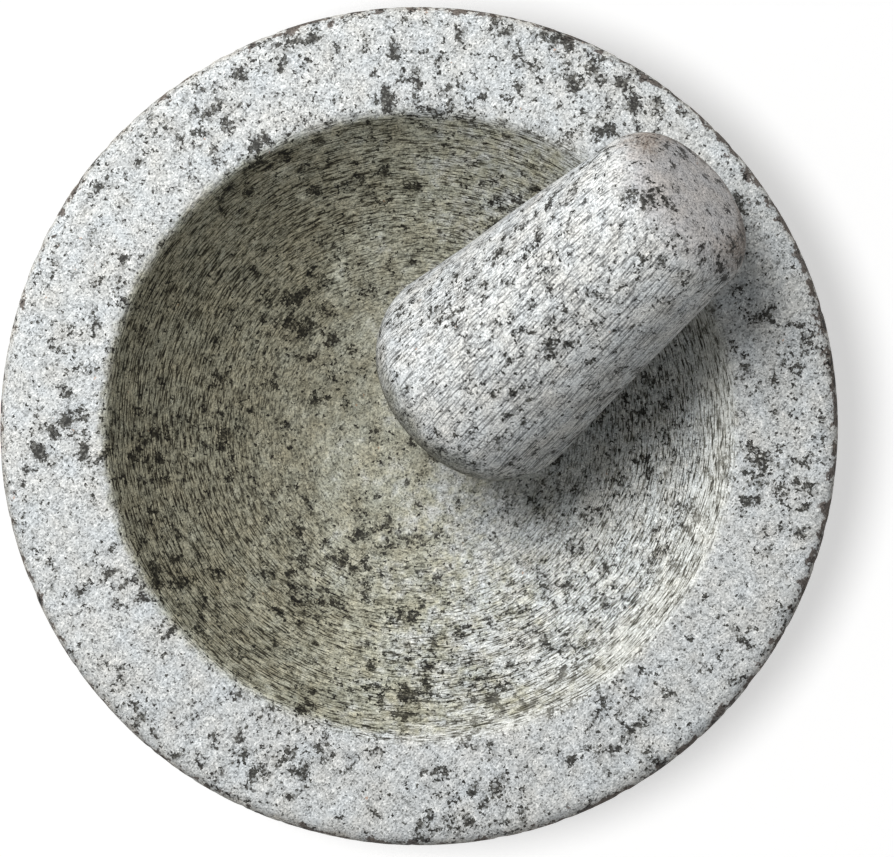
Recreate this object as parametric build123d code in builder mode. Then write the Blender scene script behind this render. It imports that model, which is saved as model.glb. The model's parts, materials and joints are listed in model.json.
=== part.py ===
from build123d import *

import math
import os

# A molcajete cut from two blocks of granite: a wide-rimmed mortar standing on three
# carved feet, and the loose pestle (tejolote) that leans in it.
# Millimetres. +Z is up, the origin is on the floor under the mortar's centre, and the
# pestle leans towards +X.

# Mortar: driving dimensions
rim_diameter = 216.0
rim_width = 27.0  # of the flat top, before its edges are rounded
mortar_height = 108.0
cavity_depth = 44.0
floor_thickness = 33.0  # stone left under the deepest point
rim_outer_round = 4.5
rim_inner_round = 3.0
shoulder_drop = 16.0  # from the rim down to where the side starts to curve in
underside_radius = 30.0  # of the flat under the belly
belly_fullness = 0.56  # 0.55 gives a quarter ellipse, more gives a squarer belly

# Feet: three, cut from the same block
foot_count = 3
first_foot_angle = 60.0  # one foot stands opposite the leaning pestle
sole_radius = 17.0
sole_circle_radius = 66.0
root_radius = 32.0
root_circle_radius = 55.0
root_height = 64.0  # the feet's tops are buried in the body
foot_blend = 10.0
sole_round = 4.0

# Pestle: driving dimensions
pestle_length = 104.0
heel_radius = 30.5  # of the wide grinding end, at its unrounded corner
grip_radius = 21.6  # of the narrow end, at its unrounded corner
heel_dome_radius = 38.0
heel_round = 18.0
grip_dome_rise = 2.5
grip_round = 10.0
heel_reach = 3.6  # how far the grinding end passes the mortar's centre
rest_gap = 0.3  # between the two stones where they touch

# Worked out for the mortar
rim_radius = rim_diameter / 2
mouth_radius = rim_radius - rim_width
cavity_radius = (mouth_radius**2 + cavity_depth**2) / (2 * cavity_depth)
cavity_floor = mortar_height - cavity_depth
cavity_centre_height = cavity_floor + cavity_radius
belly_height = cavity_floor - floor_thickness
shoulder_height = mortar_height - shoulder_drop
belly_width_pull = underside_radius + belly_fullness * (rim_radius - underside_radius)
belly_height_pull = shoulder_height - belly_fullness * (shoulder_height - belly_height)


def pestle_outline():
    """Where the grinding end's dome meets the side, and the side's taper in radians."""
    corner = heel_dome_radius - math.sqrt(heel_dome_radius**2 - heel_radius**2)
    side_length = pestle_length - grip_dome_rise - corner
    return corner, math.atan2(heel_radius - grip_radius, side_length)


def heel_round_centre(corner, taper):
    """Centre of the round between dome and side, as (along the axis, out from it)."""
    along = corner - heel_round * math.sin(taper)
    out = heel_radius - heel_round * math.cos(taper)
    # Slide the centre along the side until it is tangent to the dome from inside.
    from_dome = along - heel_dome_radius
    half_b = from_dome * math.cos(taper) - out * math.sin(taper)
    c = from_dome**2 + out**2 - (heel_dome_radius - heel_round) ** 2
    slide = -half_b - math.sqrt(half_b**2 - c)
    return along + slide * math.cos(taper), out - slide * math.sin(taper)


def pestle_rest():
    """Lean from horizontal, in radians, and the grinding end's pole as (x, z).

    The heel's round touches the cavity's floor, and the tapered side lies on the
    rounded inner edge of the rim.
    """
    corner, taper = pestle_outline()
    along, out = heel_round_centre(corner, taper)
    edge_z = mortar_height - rim_inner_round
    edge_x = math.sqrt(
        (cavity_radius + rim_inner_round) ** 2 - (cavity_centre_height - edge_z) ** 2
    )
    lean = math.radians(30)
    for _ in range(30):
        dome_x = heel_dome_radius - heel_reach
        back = heel_dome_radius - along
        round_x = dome_x - back * math.cos(lean) + out * math.sin(lean)
        swing = cavity_radius - heel_round - rest_gap
        round_z = cavity_centre_height - math.sqrt(swing**2 - round_x**2)
        gap_x, gap_z = edge_x - round_x, edge_z - round_z
        offset = (heel_round + rim_inner_round + rest_gap) / math.hypot(gap_x, gap_z)
        lean = math.atan2(gap_z, gap_x) + math.asin(offset) - taper
    pole_x = round_x - along * math.cos(lean) - out * math.sin(lean)
    pole_z = round_z - along * math.sin(lean) + out * math.cos(lean)
    return lean, pole_x, pole_z


# The mortar: one block with its feet left standing under it, then hollowed
with BuildPart() as mortar:
    with BuildSketch(Plane.XZ):
        with BuildLine():
            under = Line((0, belly_height), (underside_radius, belly_height))
            belly = Bezier(
                under @ 1,
                (belly_width_pull, belly_height),
                (rim_radius, belly_height_pull),
                (rim_radius, shoulder_height),
            )
            side = Line(belly @ 1, (rim_radius, mortar_height))
            top = Line(side @ 1, (0, mortar_height))
            Line(top @ 1, under @ 0)
        make_face()
    revolve(axis=Axis.Z)

    for number in range(foot_count):
        angle = first_foot_angle + number * 360 / foot_count
        with BuildSketch(Plane.XY) as sole:
            with PolarLocations(sole_circle_radius, 1, start_angle=angle):
                Circle(sole_radius)
        with BuildSketch(Plane.XY.offset(root_height)) as root:
            with PolarLocations(root_circle_radius, 1, start_angle=angle):
                Circle(root_radius)
        loft(sections=[sole.sketch, root.sketch])
    foot_roots = mortar.edges().filter_by(GeomType.BSPLINE)
    foot_roots = foot_roots.filter_by(lambda edge: edge.is_closed)
    fillet(foot_roots, foot_blend)
    fillet(mortar.faces().filter_by(Plane.XY).sort_by(Axis.Z)[0:foot_count].edges(), sole_round)

    with Locations((0, 0, cavity_centre_height)):
        Sphere(cavity_radius, mode=Mode.SUBTRACT)
    rim_edges = mortar.edges().filter_by(GeomType.CIRCLE).group_by(Axis.Z)[-1]
    rim_edges = rim_edges.sort_by(SortBy.RADIUS)
    fillet(rim_edges[-1], rim_outer_round)
    fillet(rim_edges[0], rim_inner_round)
mortar.part.label = "mortar"

# The pestle: a tapered round stone with a domed grinding end and a blunter grip
heel_corner, side_taper = pestle_outline()
grip_corner = pestle_length - grip_dome_rise
grip_dome_radius = (grip_radius**2 + grip_dome_rise**2) / (2 * grip_dome_rise)
lean, pole_x, pole_z = pestle_rest()
pestle_plane = Plane(
    origin=(pole_x, 0, pole_z),
    x_dir=(math.cos(lean), 0, math.sin(lean)),
    z_dir=(0, -1, 0),
)
with BuildPart() as pestle:
    with BuildSketch(pestle_plane) as half_section:
        with BuildLine():
            heel = RadiusArc((heel_corner, heel_radius), (0, 0), -heel_dome_radius)
            flank = Line(heel @ 0, (grip_corner, grip_radius))
            grip = RadiusArc(flank @ 1, (pestle_length, 0), grip_dome_radius)
            Line(grip @ 1, heel @ 1)
        make_face()
        fillet(half_section.vertices().sort_by_distance(flank @ 0)[0], heel_round)
        fillet(half_section.vertices().sort_by_distance(flank @ 1)[0], grip_round)
    revolve(axis=Axis((pole_x, 0, pole_z), pestle_plane.x_dir))
pestle.part.label = "pestle"

os.makedirs("parts", exist_ok=True)
export_step(mortar.part, "parts/mortar.step")
export_step(pestle.part, "parts/pestle.step")
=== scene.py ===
import json
import math

import bpy
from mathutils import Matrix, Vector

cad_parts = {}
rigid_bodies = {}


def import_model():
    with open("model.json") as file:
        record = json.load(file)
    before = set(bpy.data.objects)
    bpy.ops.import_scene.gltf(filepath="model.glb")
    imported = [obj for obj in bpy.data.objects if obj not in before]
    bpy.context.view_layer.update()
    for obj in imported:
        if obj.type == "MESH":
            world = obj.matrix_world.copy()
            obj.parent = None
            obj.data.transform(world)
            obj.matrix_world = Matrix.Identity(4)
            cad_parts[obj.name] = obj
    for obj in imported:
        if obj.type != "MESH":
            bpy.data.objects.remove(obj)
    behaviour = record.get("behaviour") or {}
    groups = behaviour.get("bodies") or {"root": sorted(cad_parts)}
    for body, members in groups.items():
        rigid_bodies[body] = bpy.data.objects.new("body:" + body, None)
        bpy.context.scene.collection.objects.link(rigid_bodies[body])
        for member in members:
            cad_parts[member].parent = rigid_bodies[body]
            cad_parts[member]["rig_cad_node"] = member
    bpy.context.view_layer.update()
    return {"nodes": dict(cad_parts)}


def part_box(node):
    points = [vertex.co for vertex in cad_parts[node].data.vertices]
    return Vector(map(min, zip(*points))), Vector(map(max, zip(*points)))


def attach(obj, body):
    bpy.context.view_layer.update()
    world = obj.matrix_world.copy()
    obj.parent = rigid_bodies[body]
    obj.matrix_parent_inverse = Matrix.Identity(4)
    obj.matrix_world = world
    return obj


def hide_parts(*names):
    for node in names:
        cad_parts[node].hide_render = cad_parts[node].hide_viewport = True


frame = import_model()
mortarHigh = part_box("mortar")[1]
pestleLow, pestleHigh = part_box("pestle")
rimTop = mortarHigh.z
rimRadius = mortarHigh.x
print("frame loaded, rim radius", round(rimRadius, 4))


def deselectAll():
    if bpy.context.mode != "OBJECT":
        bpy.ops.object.mode_set(mode="OBJECT")
    bpy.ops.object.select_all(action="DESELECT")


def makeActive(piece):
    deselectAll()
    piece.select_set(True)
    bpy.context.view_layer.objects.active = piece


def applyModifier(piece, kind, **settings):
    makeActive(piece)
    modifier = piece.modifiers.new(kind.title(), kind)
    for name, value in settings.items():
        setattr(modifier, name, value)
    bpy.ops.object.modifier_apply(modifier=modifier.name)


def roughBlock(nodeName, pieceName):  # a welded copy of the CAD stone to carve from
    makeActive(frame["nodes"][nodeName])
    bpy.ops.object.duplicate()
    piece = bpy.context.view_layer.objects.active
    bpy.ops.object.parent_clear(type="CLEAR_KEEP_TRANSFORM")
    del piece["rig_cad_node"]
    piece.name = pieceName
    piece.data.name = pieceName
    bpy.ops.object.mode_set(mode="EDIT")
    bpy.ops.mesh.select_all(action="SELECT")
    bpy.ops.mesh.remove_doubles(threshold=0.00001)
    bpy.ops.object.mode_set(mode="OBJECT")
    return piece


def evenMesh(piece, voxel):  # the same surface in small even faces
    makeActive(piece)
    bpy.ops.object.duplicate()
    surface = bpy.context.view_layer.objects.active
    applyModifier(piece, "REMESH", mode="VOXEL", voxel_size=voxel)
    applyModifier(piece, "SMOOTH", factor=0.5, iterations=3)
    applyModifier(piece, "SHRINKWRAP", target=surface)
    bpy.data.objects.remove(surface)


def paintGroup(piece, name, weight, faintest=0.01):  # weight is a function of a point in metres
    group = piece.vertex_groups.new(name=name)
    for vertex in piece.data.vertices:
        amount = weight(vertex.co)
        if amount > faintest:
            group.add([vertex.index], min(amount, 1.0), "REPLACE")


def ramp(value, low, high):
    t = min(max((value - low) / (high - low), 0.0), 1.0)
    return t * t * (3 - 2 * t)


def lumps(name, size, depth=2, contrast=1.0):
    texture = bpy.data.textures.new(name, "CLOUDS")
    texture.noise_scale = size
    texture.noise_depth = depth
    texture.contrast = contrast
    return texture


def chips(name, size, share, slope=0.14):  # flat nearly everywhere, dropping into chips
    texture = lumps(name, size, depth=1, contrast=1.6)
    texture.use_color_ramp = True
    stops = texture.color_ramp.elements
    stops[0].position = share
    stops[0].color = (0, 0, 0, 1)
    stops[1].position = share + slope
    stops[1].color = (1, 1, 1, 1)
    return texture


def displace(piece, texture, strength, group="", middle=0.5):
    applyModifier(
        piece,
        "DISPLACE",
        texture=texture,
        texture_coords="LOCAL",
        strength=strength,
        mid_level=middle,
        vertex_group=group,
    )


viewing = {
    "sensorWidth": 36.0,  # mm
    "heightOverRim": 0.65,
    "rimInView": 0.944,  # the rim's diameter as a share of the picture's width
    "roll": -40.5,  # degrees that turn the pestle to the upper right
    "shift": (0.0311, -0.0025),
}
lighting = {
    "sky": 0.375,
    "stoneLight": {  # lights the stone alone
        "turn": 90.0,  # degrees round from +X
        "rise": 54.0,  # degrees above the rim
        "away": 0.80,
        "size": 0.48,
        "power": 10.1,
    },
    "tableLight": {  # lights the table alone, for a narrow soft shadow
        "turn": 139.5,
        "rise": 83.3,
        "away": 0.675,
        "size": 0.10,
        "power": 2.6,
    },
    "tableSide": 6.0,
    "tableTone": 0.93,
    "tableRoughness": 0.9,
    "tableShine": 0.1,
    "tableGlow": 0.33,
}


def addCamera(choice):
    width = 2 * rimRadius / choice["rimInView"]
    bpy.ops.object.camera_add(
        location=(0, 0, rimTop + choice["heightOverRim"]),
        rotation=(0, 0, math.radians(choice["roll"])),
    )
    camera = bpy.context.object
    camera.name = "camera"
    camera.data.sensor_width = choice["sensorWidth"]
    camera.data.lens = choice["sensorWidth"] * choice["heightOverRim"] / width
    camera.data.shift_x, camera.data.shift_y = choice["shift"]
    bpy.context.scene.camera = camera


def addSky(strength):
    world = bpy.data.worlds.new("softSky")
    bpy.context.scene.world = world
    world.use_nodes = True
    world.node_tree.nodes["Background"].inputs["Color"].default_value = (1, 1, 1, 1)
    world.node_tree.nodes["Background"].inputs["Strength"].default_value = strength
    bpy.context.scene.view_settings.view_transform = "Standard"


def addLight(name, choice, litPieces):
    turn = math.radians(choice["turn"])
    rise = math.radians(choice["rise"])
    away = choice["away"]
    place = (
        away * math.cos(rise) * math.cos(turn),
        away * math.cos(rise) * math.sin(turn),
        rimTop + away * math.sin(rise),
    )
    bpy.ops.object.light_add(
        type="AREA", location=place, rotation=(math.pi / 2 - rise, 0, turn + math.pi / 2)
    )
    light = bpy.context.object
    light.name = name
    light.data.shape = "DISK"
    light.data.size = choice["size"]
    light.data.energy = choice["power"]
    lit = bpy.data.collections.new(name + "Shines")
    for piece in litPieces:
        lit.objects.link(piece)
    light.light_linking.receiver_collection = lit


def addTable(choice):
    bpy.ops.mesh.primitive_plane_add(size=choice["tableSide"])
    table = bpy.context.object
    table.name = "table"
    paper = bpy.data.materials.new("tablePaper")
    paper.use_nodes = True
    shader = paper.node_tree.nodes["Principled BSDF"]
    tone = choice["tableTone"]
    shader.inputs["Base Color"].default_value = (tone, tone, tone, 1)
    shader.inputs["Roughness"].default_value = choice["tableRoughness"]
    shader.inputs["Specular IOR Level"].default_value = choice["tableShine"]
    shader.inputs["Emission Color"].default_value = (1, 1, 1, 1)
    shader.inputs["Emission Strength"].default_value = choice["tableGlow"]
    table.data.materials.append(paper)
    return table


addCamera(viewing)
addSky(lighting["sky"])
table = addTable(lighting)
print("camera, sky and table placed")


def newNode(tree, kind, inputs=None, **settings):
    made = tree.nodes.new("ShaderNode" + kind)
    for name, value in settings.items():
        setattr(made, name, value)
    for socket, value in (inputs or {}).items():
        if isinstance(value, bpy.types.NodeSocket):
            tree.links.new(value, made.inputs[socket])
        else:
            made.inputs[socket].default_value = value
    return made


def calc(tree, operation, first, second=0.0, third=0.0):
    return newNode(tree, "Math", {0: first, 1: second, 2: third}, operation=operation).outputs[0]


def times(tree, first, second):
    return calc(tree, "MULTIPLY", first, second)


def addScaled(tree, base, value, scale):  # base + value * scale
    return calc(tree, "MULTIPLY_ADD", value, scale, base)


def vectorCalc(tree, operation, first, second=(0, 0, 0), output=0):
    socket = "Scale" if operation == "SCALE" else 1
    return newNode(tree, "VectorMath", {0: first, socket: second}, operation=operation).outputs[output]


def noise(tree, vector, size, detail=2.0, roughness=0.5, output="Fac"):  # size in mm
    sockets = {"Vector": vector, "Scale": 1 / size, "Detail": detail, "Roughness": roughness}
    return newNode(tree, "TexNoise", sockets).outputs[output]


def cells(tree, vector, size):  # each grain's middle, and three random values of its own
    grains = newNode(tree, "TexVoronoi", {"Vector": vector, "Scale": 1 / size})
    random = newNode(tree, "SeparateColor", {0: grains.outputs["Color"]})
    return grains.outputs["Position"], *random.outputs


def centred(tree, value):  # from 0..1 to either side of 0
    return calc(tree, "SUBTRACT", value, 0.5)


def opposite(tree, value):
    return calc(tree, "SUBTRACT", 1.0, value)


def negative(tree, value):
    return times(tree, value, -1.0)


def band(tree, value, low, high):  # 0 below low, 1 above high
    sockets = {"Value": value, "From Min": low, "From Max": high}
    return newNode(tree, "MapRange", sockets, interpolation_type="SMOOTHSTEP").outputs[0]


def tones(tree, value, stops):  # stops are (position, colour)
    made = newNode(tree, "ValToRGB", {"Fac": value})
    elements = made.color_ramp.elements
    while len(elements) < len(stops):
        elements.new(1.0)
    for element, (position, colour) in zip(elements, stops):
        element.position = position
        element.color = (*colour, 1)
    return made.outputs["Color"]


def blend(tree, amount, first, second, kind="MIX"):
    sockets = {0: amount, 6: first, 7: second}
    return newNode(tree, "Mix", sockets, data_type="RGBA", blend_type=kind).outputs[2]


def tinted(tree, amount, colour, tint):  # colour darkened towards tint by amount
    return blend(tree, amount, colour, tint, "MULTIPLY")


def streaks(tree, mm, length, width, turn):  # long thin marks that run one way
    sockets = {"Vector": mm, "Rotation": turn, "Scale": (length, width, width)}
    run = newNode(tree, "Mapping", sockets, vector_type="TEXTURE").outputs[0]
    return noise(tree, run, 1.0, 1)


graniteLook = {
    "flour": 0.36,  # mm, the finest grains of the pale ground
    "flourContrast": 0.8,
    "patch": 2.2,  # mm, paler and greyer areas of the ground
    "patchContrast": 0.9,
    "bit": 0.52,  # mm, the bits that dark clusters are made of
    "scatter": 0.12,  # how many bits stray from their cluster
    "shake": 0.6,  # mm, the size of the bends in a bit's outline
    "ragged": 1.0,
    "drift": 26.0,  # mm, from crowded to sparse areas of the stone
    "driftOfClusters": 0.3,
    "driftOfSpecks": 0.12,
    "clusterSize": 4.2,  # mm
    "darkFrom": 0.606,  # lower makes more of the stone dark
    "greyFrom": 0.545,
    "greyShare": 0.6,
    "speckSize": 1.25,  # mm, the small dark specks between clusters
    "specksFrom": 0.675,
    "softness": 0.012,  # of a dark grain's edge
    "rust": 0.0002,  # share of bits that have rusted
    "rustShare": 0.6,
    "pale": [
        (0.0, (0.11, 0.112, 0.11)),
        (0.18, (0.25, 0.256, 0.257)),
        (0.38, (0.40, 0.41, 0.413)),
        (0.75, (0.52, 0.53, 0.532)),
        (1.0, (0.72, 0.725, 0.72)),
    ],
    "mica": [
        (0.0, (0.014, 0.0135, 0.0125)),
        (0.5, (0.030, 0.029, 0.026)),
        (0.8, (0.075, 0.074, 0.067)),
        (1.0, (0.20, 0.20, 0.19)),
    ],
    "grey": (0.165, 0.168, 0.165, 1),
    "rustTone": (0.36, 0.19, 0.11, 1),
    "hueSize": 7.0,  # mm, cooler and warmer areas
    "hues": [(0.3, (0.955, 0.985, 1.0)), (0.7, (1.0, 0.985, 0.945))],
    "roughness": 0.9,
    "flourGloss": 0.12,
    "micaGloss": 0.2,
    "shine": 0.22,
    "grainRelief": 0.5,
    "bumpStrength": 0.75,
    "bumpDepth": 0.00014,
}


def graniteGrain(tree, mm, look):  # colour, darkness and fine grain of the bare stone
    bends = noise(tree, mm, look["shake"], 2, output="Color")
    bends = vectorCalc(tree, "SUBTRACT", bends, (0.5, 0.5, 0.5))
    ragged = vectorCalc(tree, "ADD", mm, vectorCalc(tree, "SCALE", bends, look["ragged"]))

    flour, glint = cells(tree, mm, look["flour"])[1:3]
    patch = centred(tree, noise(tree, mm, look["patch"], 3, 0.65))
    paleness = addScaled(tree, (1 - look["flourContrast"]) / 2, flour, look["flourContrast"])
    paleness = addScaled(tree, paleness, patch, look["patchContrast"])
    colour = tones(tree, paleness, look["pale"])

    place, stray, shade, rusty = cells(tree, ragged, look["bit"])
    drift = centred(tree, noise(tree, mm, look["drift"], 1))
    gathered = noise(tree, place, look["clusterSize"], 4, 0.62)
    gathered = addScaled(tree, gathered, drift, look["driftOfClusters"])
    gathered = addScaled(tree, gathered, centred(tree, stray), look["scatter"])
    speck = addScaled(tree, noise(tree, place, look["speckSize"], 1), drift, look["driftOfSpecks"])
    inCluster = band(tree, gathered, look["darkFrom"], look["darkFrom"] + look["softness"])
    inSpeck = band(tree, speck, look["specksFrom"], look["specksFrom"] + look["softness"])
    dark = calc(tree, "MAXIMUM", inCluster, inSpeck)
    grey = band(tree, gathered, look["greyFrom"], look["darkFrom"])
    colour = blend(tree, times(tree, grey, look["greyShare"]), colour, look["grey"])
    micaTone = addScaled(tree, times(tree, shade, 0.7), glint, 0.4)
    colour = blend(tree, dark, colour, tones(tree, micaTone, look["mica"]))
    rust = calc(tree, "GREATER_THAN", rusty, 1 - look["rust"])
    colour = blend(tree, times(tree, rust, look["rustShare"]), colour, look["rustTone"])

    hue = tones(tree, noise(tree, mm, look["hueSize"], 2), look["hues"])
    return tinted(tree, 1.0, colour, hue), dark, flour


def granite(name, look, finish):
    material = bpy.data.materials.new(name)
    material.use_nodes = True
    tree = material.node_tree
    shader = tree.nodes["Principled BSDF"]
    place = newNode(tree, "TexCoord").outputs["Object"]
    mm = vectorCalc(tree, "SCALE", place, 1000.0)
    colour, dark, flour = graniteGrain(tree, mm, look)
    colour, relief = finish(tree, mm, colour)
    tree.links.new(colour, shader.inputs["Base Color"])
    roughness = addScaled(tree, look["roughness"], flour, -look["flourGloss"])
    roughness = addScaled(tree, roughness, dark, -look["micaGloss"])
    tree.links.new(roughness, shader.inputs["Roughness"])
    shader.inputs["Specular IOR Level"].default_value = look["shine"]
    relief = addScaled(tree, relief, flour, look["grainRelief"])
    relief = addScaled(tree, relief, dark, -look["grainRelief"])
    sockets = {"Height": relief, "Strength": look["bumpStrength"], "Distance": look["bumpDepth"]}
    tree.links.new(newNode(tree, "Bump", sockets).outputs[0], shader.inputs["Normal"])
    return material


def ringLines(tree, flat, axis, down, count):  # short lines round an axis, left by grinding
    outward = vectorCalc(tree, "NORMALIZE", flat)
    drop = vectorCalc(tree, "SCALE", axis, down)
    turned = vectorCalc(tree, "ADD", vectorCalc(tree, "SCALE", outward, count), drop)
    return noise(tree, turned, 1.0, 2, 0.6)


mortarShape = {
    "voxel": 0.00134,
    "wobble": 0.0005,
    "wobbleSize": 0.05,
    "toolMarks": 0.0011,
    "toolMarkSize": 0.009,
    "toolMarksFrom": (0.010, 0.026),  # below the rim
    "bowlDeep": 0.045,  # the bowl's inside, where there are no tool marks
    "bowlWide": 0.082,
    "soles": (0.002, 0.012),  # above the table, where the soles' flatness ends
    "edgeChips": 0.0002,
    "chipSize": 0.004,
    "chipShare": 0.60,
    "chipsWithin": (0.006, 0.0015),  # in from the rim's outer edge
    "chipsBelow": (0.016, 0.006),  # below the rim
}
mortarLook = {  # pairs are in mm, from where a finish starts to where it is full
    **graniteLook,
    "edgeNoise": 3.0,  # mm, the size of the steps where two finishes meet
    "mouth": 82.4,  # mm, where the bowl's side meets the flat rim
    "mouthRagged": 5.0,
    "outOfMouth": (-3.0, 0.5),
    "bowlFloor": (56.0, 58.0),  # above the table, just under the bowl's lowest point
    "turnedLines": 21.0,  # how many lengths of grinding line make a radian round the bowl
    "lineFineness": 1.75,  # the same across the lines, per mm
    "lineSlope": 0.8,
    "lined": (14.0, 62.0),  # from the bowl's middle
    "linesInMiddle": 0.3,
    "lineTones": [
        (0.36, (0.08, 0.072, 0.06)),
        (0.42, (0.50, 0.49, 0.44)),
        (0.50, (1.0, 1.0, 0.99)),
        (0.62, (1.2, 1.2, 1.18)),
    ],
    "lip": (-12.0, -5.0),  # from the mouth
    "lipSide": (-0.2, 0.6),  # round from the film, where -1 is the film's own side and 1 is opposite
    "lipShare": 0.22,
    # painted light: the pale colour laid on the lip whose wall faces the stone light
    "paleLitLip": (0.74, 0.73, 0.66, 1),
    "shadedWallSide": 130.0,  # degrees round from +X, towards the stone light, where the inner wall faces away from it: the film is heaviest here, partly stain and partly painted shade
    # painted shade: how much heavier the film is made on the side whose inner wall faces away from the
    # stone light
    "paintedShadeBySide": 0.7,
    "filmMiddle": 60.0,  # mm from the bowl's middle, where the side has its full effect
    "filmDepth": (0.1, 4.0),  # below the rim
    "filmByDepth": 0.5,
    "filmRagged": 1.1,
    "filmPatch": 13.0,  # mm
    "filmByPatch": 1.2,
    "filmFrom": (0.0, 0.6),
    "film": (0.67, 0.64, 0.49, 1),
    "filmShare": 0.85,
    "heavyFrom": (0.45, 1.05),
    # the heavy film's colour: a stain, laid on most where the film is weighted towards the shaded wall
    # as painted shade
    "heavyFilmAndShade": (0.34, 0.295, 0.20, 1),
    "heavyShare": 0.52,
    "heavyLines": 0.03,  # how much the film widens the lines
    "rimScratchTurn": 6.0,  # degrees
    "rimScratch": (10.0, 0.42),  # mm long and wide
    "crossScratch": (7.0, 0.42),
    "crossShare": 0.5,
    "rubTones": [(0.6, (0.82, 0.82, 0.82)), (0.74, (1.0, 1.0, 1.0))],
    "edgeWide": 2.4,  # mm, the darker line along the rim's outer edge
    "edgeRagged": 5.0,
    "edgeTone": (0.90, 0.85, 0.79, 1),
    "clumpSize": 4.0,  # mm, the dark patches on that edge
    # painted shade: pushes the dark patches towards the side of the outer edge that faces away from the
    # stone light
    "patchShadeBySide": 0.045,
    "clumpWithin": (-4.0, 0.0),  # from the rim's outer edge
    "clumpAtEdge": 0.15,
    "clumpBelow": 0.25,
    "clumpDepth": (3.0, 11.0),
    "patchesFrom": (0.635, 0.665),  # lower makes more of the edge dark
    "patchesWithin": (-5.0, -3.0),
    "edgePatches": (0.19, 0.15, 0.13, 1),
    "outerShare": 0.9,
    "weatheredDepth": (2.0, 7.0),
    "weatheredShare": 0.8,
    "weathered": (0.76, 0.70, 0.63, 1),
    "lineRelief": 1.4,
    "pitSize": 1.6,  # mm
    "pitRelief": 2.5,
    "scratchRelief": 0.35,
}


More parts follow.
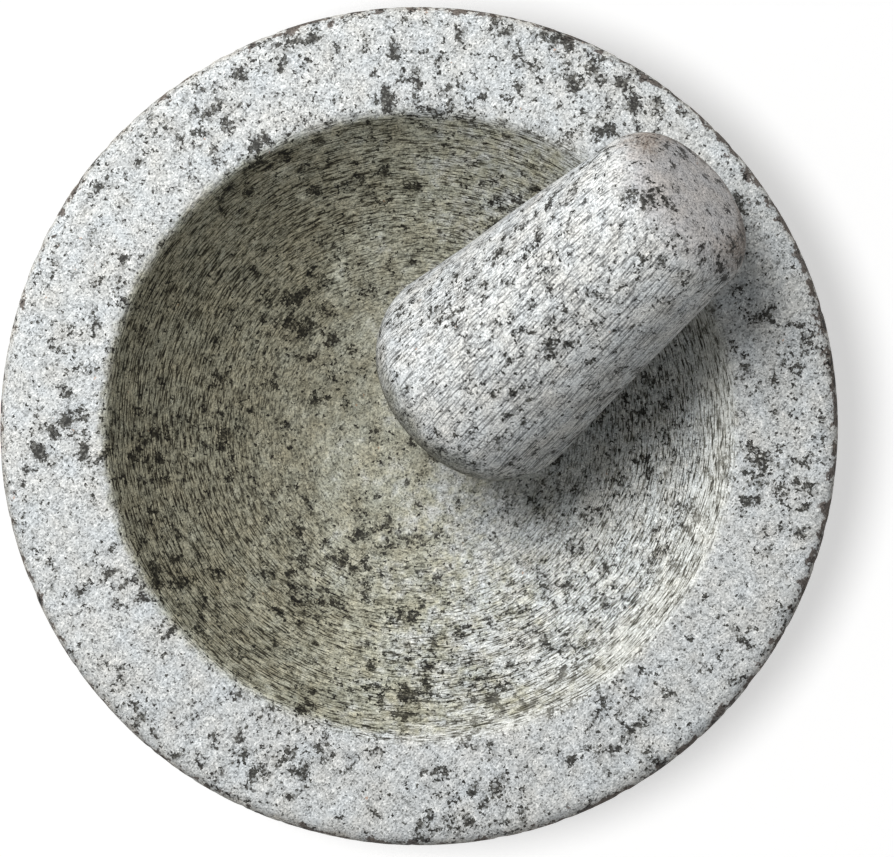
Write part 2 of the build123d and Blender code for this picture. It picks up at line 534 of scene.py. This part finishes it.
def mortarFinish(tree, mm, colour):
    look = mortarLook
    axes = newNode(tree, "SeparateXYZ", {0: mm})
    height = axes.outputs[2]
    flat = newNode(tree, "CombineXYZ", {0: axes.outputs[0], 1: axes.outputs[1]}).outputs[0]
    reach = vectorCalc(tree, "LENGTH", flat, output="Value")
    depth = calc(tree, "SUBTRACT", rimTop * 1000, height)
    fromMouth = calc(tree, "SUBTRACT", reach, look["mouth"])
    fromEdge = calc(tree, "SUBTRACT", reach, rimRadius * 1000)
    ragged = centred(tree, noise(tree, mm, look["edgeNoise"], 3, 0.65))
    # towards the side nearest the stone light, whose inner wall faces away from it: used below to paint
    # shade and light by side
    side = math.radians(look["shadedWallSide"])
    facing = vectorCalc(tree, "DOT_PRODUCT", flat, (math.cos(side), math.sin(side), 0), "Value")
    facing = calc(tree, "DIVIDE", facing, calc(tree, "MAXIMUM", reach, look["filmMiddle"]))

    # the bowl's lip, paler on the side whose wall faces the stone light: painted light, as well as wear
    fromMouth = addScaled(tree, fromMouth, ragged, look["mouthRagged"])
    inMouth = opposite(tree, band(tree, fromMouth, *look["outOfMouth"]))
    inBowl = times(tree, band(tree, height, *look["bowlFloor"]), inMouth)
    onLip = times(tree, band(tree, fromMouth, *look["lip"]), inBowl)
    # painted light: only the side whose wall faces the stone light gets the paler lip
    onLip = times(tree, onLip, band(tree, negative(tree, facing), *look["lipSide"]))
    colour = blend(tree, times(tree, onLip, look["lipShare"]), colour, look["paleLitLip"])

    # the bowl's grinding lines, and the brown film that use has left, laid on more heavily on the side
    # whose inner wall is in shade: partly stain, partly painted shade
    filmAndShadeSpread = times(tree, band(tree, depth, *look["filmDepth"]), look["filmByDepth"])
    filmAndShadeSpread = addScaled(tree, filmAndShadeSpread, ragged, look["filmRagged"])
    # painted shade: the film is made heavier towards the side whose inner wall faces away from the stone
    # light
    filmAndShadeSpread = addScaled(tree, filmAndShadeSpread, facing, look["paintedShadeBySide"])
    patch = centred(tree, noise(tree, mm, look["filmPatch"], 3, 0.6))
    filmAndShadeSpread = addScaled(tree, filmAndShadeSpread, patch, look["filmByPatch"])
    light = times(tree, band(tree, filmAndShadeSpread, *look["filmFrom"]), inBowl)
    heavy = times(tree, band(tree, filmAndShadeSpread, *look["heavyFrom"]), inBowl)
    down = addScaled(tree, negative(tree, depth), reach, look["lineSlope"])
    down = times(tree, down, look["lineFineness"])
    lines = ringLines(tree, flat, (0, 0, 1), down, look["turnedLines"])
    lined = band(tree, reach, *look["lined"])
    lined = addScaled(tree, look["linesInMiddle"], lined, 1 - look["linesInMiddle"])
    lined = times(tree, inBowl, lined)
    lineTone = tones(tree, addScaled(tree, lines, heavy, -look["heavyLines"]), look["lineTones"])
    colour = tinted(tree, lined, colour, lineTone)
    colour = tinted(tree, times(tree, light, look["filmShare"]), colour, look["film"])
    colour = tinted(tree, times(tree, heavy, look["heavyShare"]), colour, look["heavyFilmAndShade"])

    # the flat rim: fine straight scratches, two ways
    turn = math.radians(look["rimScratchTurn"])
    along = streaks(tree, mm, *look["rimScratch"], (0, 0, turn))
    across = streaks(tree, mm, *look["crossScratch"], (0, 0, turn + math.pi / 2))
    rub = addScaled(tree, along, across, look["crossShare"])
    colour = tinted(tree, opposite(tree, inBowl), colour, tones(tree, rub, look["rubTones"]))

    # the outer edge, dark and ragged, with its dark patches gathered as painted shade on the side that
    # faces away from the stone light, and the weathered side and feet
    onEdge = band(tree, addScaled(tree, fromEdge, ragged, look["edgeRagged"]), -look["edgeWide"], 0.0)
    clump = noise(tree, mm, look["clumpSize"], 4, 0.65)
    clump = addScaled(tree, clump, band(tree, fromEdge, *look["clumpWithin"]), look["clumpAtEdge"])
    # painted shade: more dark patches where the outer edge faces away from the stone light
    clump = addScaled(tree, clump, facing, -look["patchShadeBySide"])
    clump = addScaled(tree, clump, band(tree, depth, *look["clumpDepth"]), -look["clumpBelow"])
    patches = times(
        tree, band(tree, clump, *look["patchesFrom"]), band(tree, fromEdge, *look["patchesWithin"])
    )
    below = times(tree, band(tree, depth, *look["weatheredDepth"]), opposite(tree, inBowl))
    colour = tinted(tree, times(tree, onEdge, look["outerShare"]), colour, look["edgeTone"])
    colour = tinted(tree, times(tree, patches, look["outerShare"]), colour, look["edgePatches"])
    colour = tinted(tree, times(tree, below, look["weatheredShare"]), colour, look["weathered"])

    relief = times(tree, times(tree, lines, lined), look["lineRelief"])
    pits = times(tree, noise(tree, mm, look["pitSize"], 3, 0.7), below)
    relief = addScaled(tree, relief, pits, look["pitRelief"])
    relief = addScaled(tree, relief, rub, look["scratchRelief"])
    return colour, relief


def carveMortar(choice):
    stone = roughBlock("mortar", "mortarStone")
    evenMesh(stone, choice["voxel"])
    print("mortar faces", len(stone.data.polygons))

    def offSoles(point):
        return ramp(point.z, *choice["soles"])

    def outerSide(point):
        reach = math.hypot(point.x, point.y)
        inBowl = point.z > rimTop - choice["bowlDeep"] and reach < choice["bowlWide"]
        return 0.0 if inBowl else ramp(rimTop - point.z, *choice["toolMarksFrom"]) * offSoles(point)

    def outerEdge(point):
        inward = rimRadius - math.hypot(point.x, point.y)
        return ramp(inward, *choice["chipsWithin"]) * ramp(rimTop - point.z, *choice["chipsBelow"])

    paintGroup(stone, "offSoles", offSoles)
    paintGroup(stone, "outerSide", outerSide)
    paintGroup(stone, "outerEdge", outerEdge)
    wobble = lumps("handWobble", choice["wobbleSize"])
    toolMarks = lumps("toolMarks", choice["toolMarkSize"], depth=3)
    edgeChips = chips("edgeChips", choice["chipSize"], choice["chipShare"])
    displace(stone, wobble, choice["wobble"], "offSoles")
    displace(stone, toolMarks, choice["toolMarks"], "outerSide", 0.6)
    displace(stone, edgeChips, -choice["edgeChips"], "outerEdge", 0.0)
    stone.data.materials.clear()
    stone.data.materials.append(granite("mortarGranite", mortarLook, mortarFinish))
    makeActive(stone)
    bpy.ops.object.shade_smooth()
    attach(stone, "mortar")
    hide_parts("mortar")
    return stone


mortarStone = carveMortar(mortarShape)
print("mortar carved")


pestleShape = {
    "voxel": 0.0007,
    "wobble": 0.0010,
    "wobbleSize": 0.03,
}
pestleLook = {  # pairs are in mm, from where a finish starts to where it is full
    **graniteLook,
    "lean": 33.45,  # degrees above the table
    "flourContrast": 0.75,
    "clusterSize": 3.4,
    "greyFrom": 0.525,
    "darkFrom": 0.613,
    "specksFrom": 0.68,
    "pale": [
        (0.0, (0.15, 0.153, 0.154)),
        (0.2, (0.30, 0.306, 0.307)),
        (0.4, (0.465, 0.473, 0.474)),
        (0.75, (0.60, 0.606, 0.602)),
        (1.0, (0.76, 0.763, 0.755)),
    ],
    "edgeNoise": 4.0,  # mm, the size of the steps where two finishes meet
    "endRagged": 9.0,
    "scratchTurn": 7.0,  # degrees off the pestle's own line
    "fineScratch": (8.0, 0.45),  # mm long and wide
    "broadScratch": (18.0, 1.4),
    "broadShare": 0.2,
    "scratchTones": [(0.37, (0.34, 0.34, 0.34)), (0.46, (0.80, 0.80, 0.80)), (0.56, (1.05, 1.05, 1.05))],
    "scratchRelief": 1.2,
    "grip": (42.0, 50.0),  # along the axis, from the pestle's middle
    "gripTint": (0.70, 0.665, 0.66, 1),
    "turnedLines": 7.0,  # how many lengths of dash make a radian round the grip
    "lineFineness": 1.5,  # the same across the dashes, per mm
    "gripLines": [(0.38, (0.32, 0.27, 0.23)), (0.46, (0.78, 0.74, 0.71)), (0.55, (1.0, 1.0, 1.0))],
    "ring": (12.0, 17.0),  # from the axis
    "ringRagged": 7.0,
    "ringTop": (2.0, 14.0),  # above the axis, where the ring fades out
    "ringShare": 0.95,
    "ringTint": (0.80, 0.75, 0.70, 1),
    "stainSize": 9.0,  # mm
    "stainRagged": 16.0,
    "heel": (39.0, 52.0),  # along the axis, the other way
    "heelShare": 0.9,
    "heelTint": (0.40, 0.39, 0.32, 1),
}


def pestleFinish(tree, mm, colour):
    look = pestleLook
    lean = math.radians(look["lean"])
    axis = (math.cos(lean), 0.0, math.sin(lean))
    upright = (-math.sin(lean), 0.0, math.cos(lean))
    middle = (pestleLow + pestleHigh) / 2 * 1000  # mm
    fromMiddle = vectorCalc(tree, "SUBTRACT", mm, middle)
    along = vectorCalc(tree, "DOT_PRODUCT", fromMiddle, axis, "Value")
    flat = vectorCalc(tree, "SUBTRACT", fromMiddle, vectorCalc(tree, "SCALE", axis, along))
    fromAxis = vectorCalc(tree, "LENGTH", flat, output="Value")
    up = vectorCalc(tree, "DOT_PRODUCT", flat, upright, "Value")
    ragged = centred(tree, noise(tree, mm, look["edgeNoise"], 3, 0.65))
    end = addScaled(tree, along, ragged, look["endRagged"])
    onGrip = band(tree, end, *look["grip"])

    # scratches along the barrel, where it is rubbed on the bowl
    turn = (0, -lean, math.radians(look["scratchTurn"]))
    fine = streaks(tree, fromMiddle, *look["fineScratch"], turn)
    broad = streaks(tree, fromMiddle, *look["broadScratch"], turn)
    rub = addScaled(tree, times(tree, fine, 1 - look["broadShare"]), broad, look["broadShare"])
    colour = tinted(tree, opposite(tree, onGrip), colour, tones(tree, rub, look["scratchTones"]))

    # the grip's end: its rounded edge is browner at the sides and below, with dashes round it
    outDown = times(tree, calc(tree, "SUBTRACT", fromAxis, along), look["lineFineness"])
    dashes = ringLines(tree, flat, axis, outDown, look["turnedLines"])
    outward = addScaled(tree, fromAxis, ragged, look["ringRagged"])
    onRing = times(tree, onGrip, band(tree, outward, *look["ring"]))
    onRing = times(tree, onRing, opposite(tree, band(tree, up, *look["ringTop"])))
    dashShare = times(tree, onRing, look["ringShare"])
    colour = tinted(tree, dashShare, colour, tones(tree, dashes, look["gripLines"]))
    colour = tinted(tree, onGrip, colour, look["gripTint"])
    colour = tinted(tree, onRing, colour, look["ringTint"])

    # the stain on the grinding end
    stain = noise(tree, mm, look["stainSize"], 2)
    stain = addScaled(tree, negative(tree, end), stain, look["stainRagged"])
    onHeel = times(tree, band(tree, stain, *look["heel"]), look["heelShare"])
    colour = tinted(tree, onHeel, colour, look["heelTint"])
    return colour, times(tree, rub, look["scratchRelief"])


def carvePestle(choice):
    stone = roughBlock("pestle", "pestleStone")
    evenMesh(stone, choice["voxel"])
    print("pestle faces", len(stone.data.polygons))
    wobble = lumps("pestleWobble", choice["wobbleSize"])
    displace(stone, wobble, choice["wobble"], middle=0.6)
    stone.data.materials.clear()
    stone.data.materials.append(granite("pestleGranite", pestleLook, pestleFinish))
    makeActive(stone)
    bpy.ops.object.shade_smooth()
    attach(stone, "pestle")
    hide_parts("pestle")
    return stone


pestleStone = carvePestle(pestleShape)
print("pestle carved")

addLight("stoneLight", lighting["stoneLight"], [mortarStone, pestleStone])
addLight("tableLight", lighting["tableLight"], [table])
print("lights placed")
